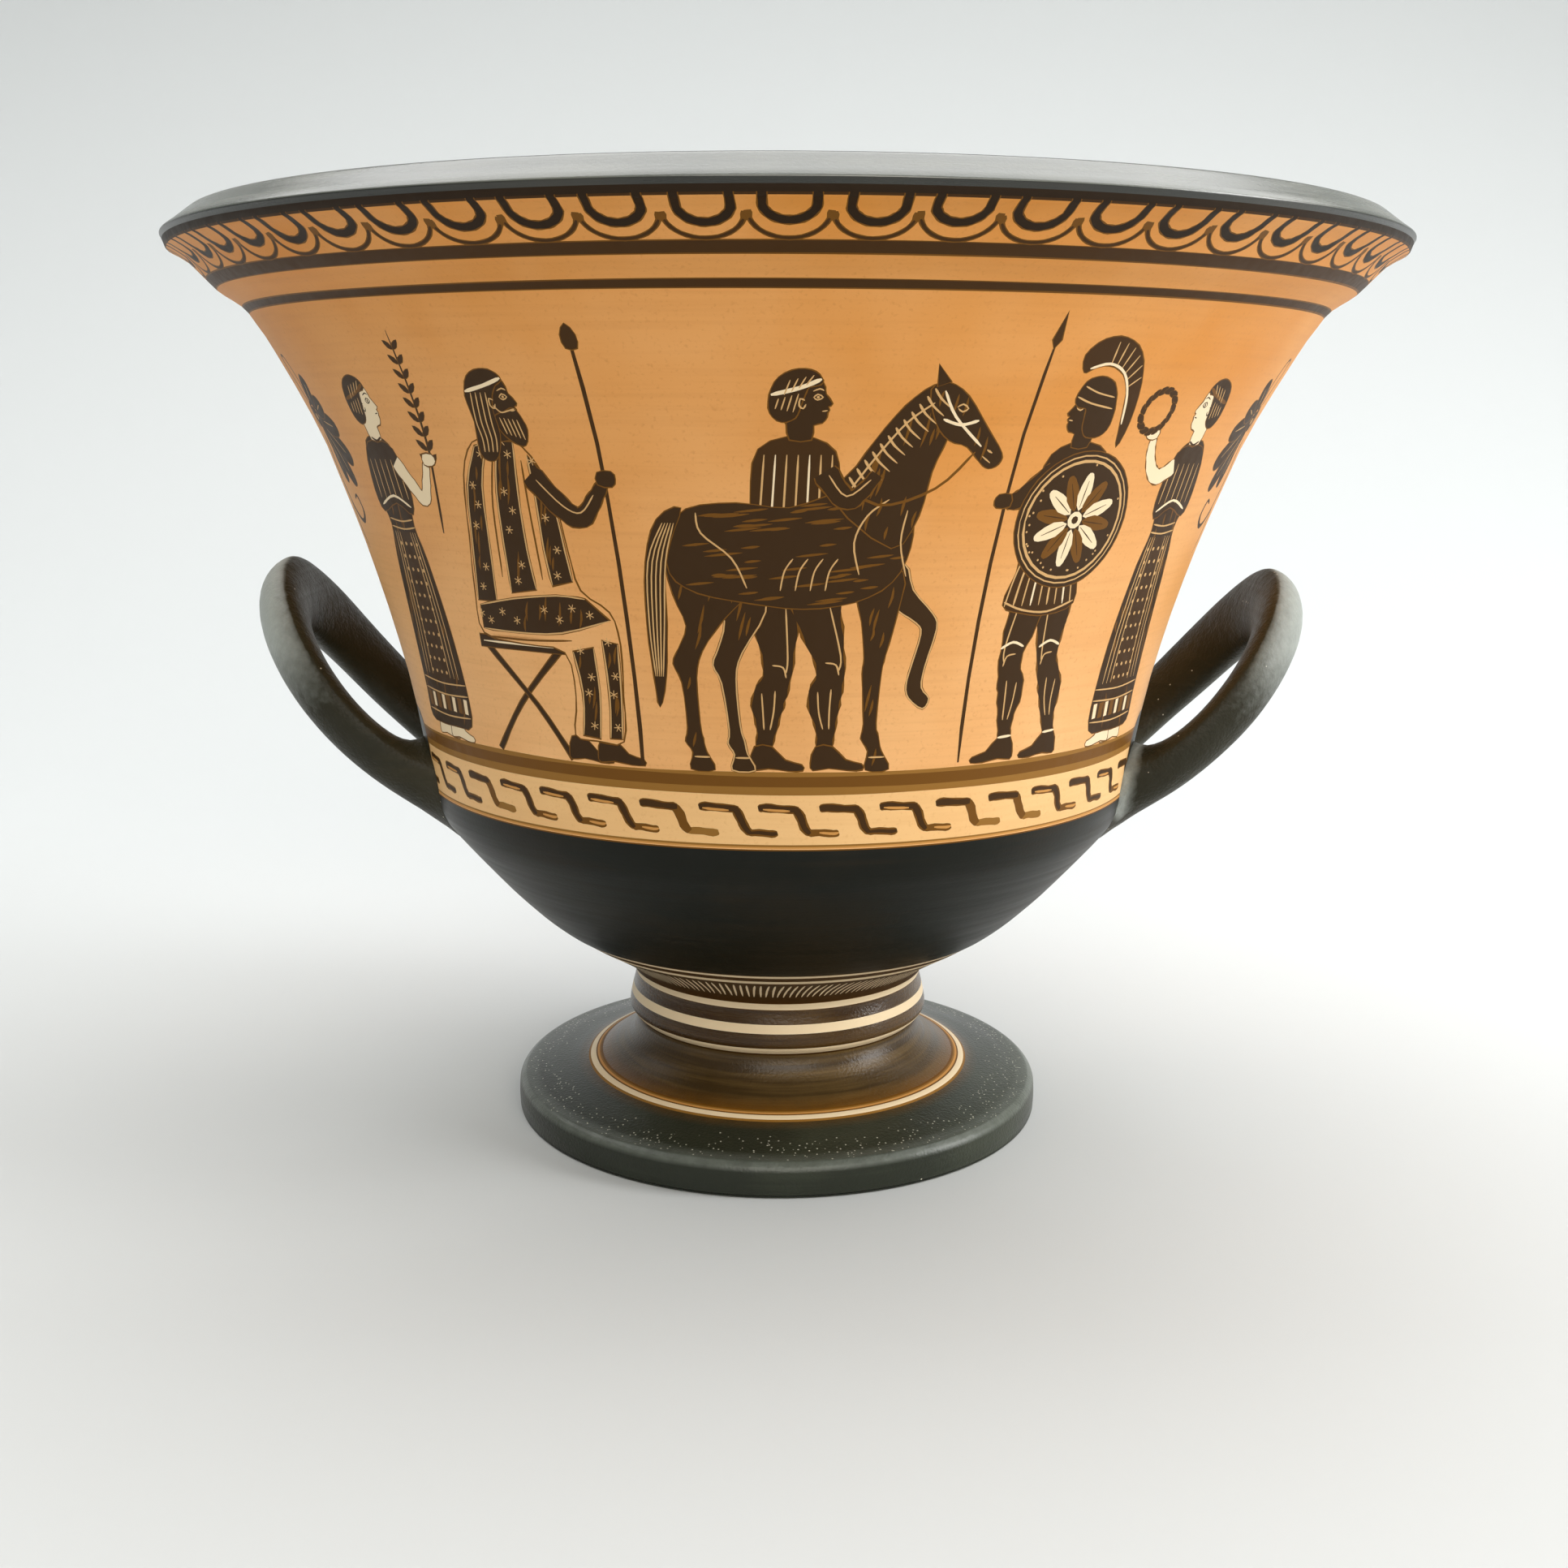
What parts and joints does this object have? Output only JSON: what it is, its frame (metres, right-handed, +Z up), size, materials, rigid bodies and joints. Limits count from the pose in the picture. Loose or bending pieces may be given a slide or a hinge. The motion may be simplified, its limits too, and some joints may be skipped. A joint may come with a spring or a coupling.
{
  "type": "greek krater",
  "caption": "Wheel-thrown mixing bowl with a flaring rim, upturned strap handles and a stepped foot, painted in dark slip on orange clay.",
  "frame": {"origin": "centre of the foot's resting ring, on the surface the vessel stands on", "axes": "+Z up the turning axis; the two handles stand out along +X and -X; the painted front faces -Y"},
  "size_m": [0.269, 0.269, 0.205],
  "materials": {
    "painted_terracotta": "orange fired clay painted with satin black and brown slip, cream lines and a thin clear coat"
  },
  "bodies": {
    "root": {"krater": "painted_terracotta"}
  },
  "joints": []
}
